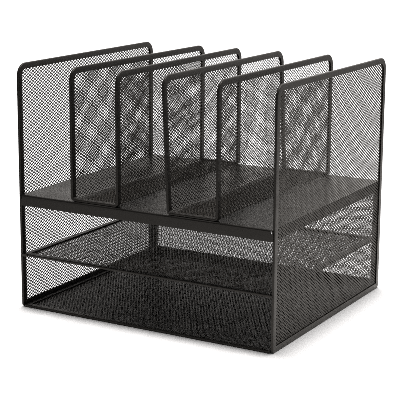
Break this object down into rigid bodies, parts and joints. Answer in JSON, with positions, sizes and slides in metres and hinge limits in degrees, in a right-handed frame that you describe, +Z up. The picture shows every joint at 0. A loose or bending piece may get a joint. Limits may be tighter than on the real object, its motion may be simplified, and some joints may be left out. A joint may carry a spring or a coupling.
{
  "type": "desktop file sorter",
  "caption": "Black steel desktop sorter: mesh letter trays below a solid shelf, with upright file sections above it between mesh dividers.",
  "frame": {"origin": "middle of the footprint, on the desk", "axes": "+X to the right across the width, +Y to the back, +Z up; the trays open towards -Y"},
  "size_m": [0.337, 0.2974, 0.292],
  "materials": {
    "rim_coat": "satin powder coat",
    "mesh_coat": "satin powder coat",
    "shelf_coat": "fine textured powder coat"
  },
  "bodies": {
    "root": {"left_side_rim": "rim_coat", "left_side_mesh": "mesh_coat", "right_side_rim": "rim_coat", "right_side_mesh": "mesh_coat", "bottom_rim": "rim_coat", "bottom_mesh": "mesh_coat", "back_rim": "rim_coat", "back_mesh": "mesh_coat", "middle_shelf_rim": "rim_coat", "middle_shelf_mesh": "mesh_coat", "solid_shelf": "shelf_coat", "left_divider_rim": "rim_coat", "left_divider_mesh": "mesh_coat", "right_divider_rim": "rim_coat", "right_divider_mesh": "mesh_coat"}
  },
  "joints": []
}
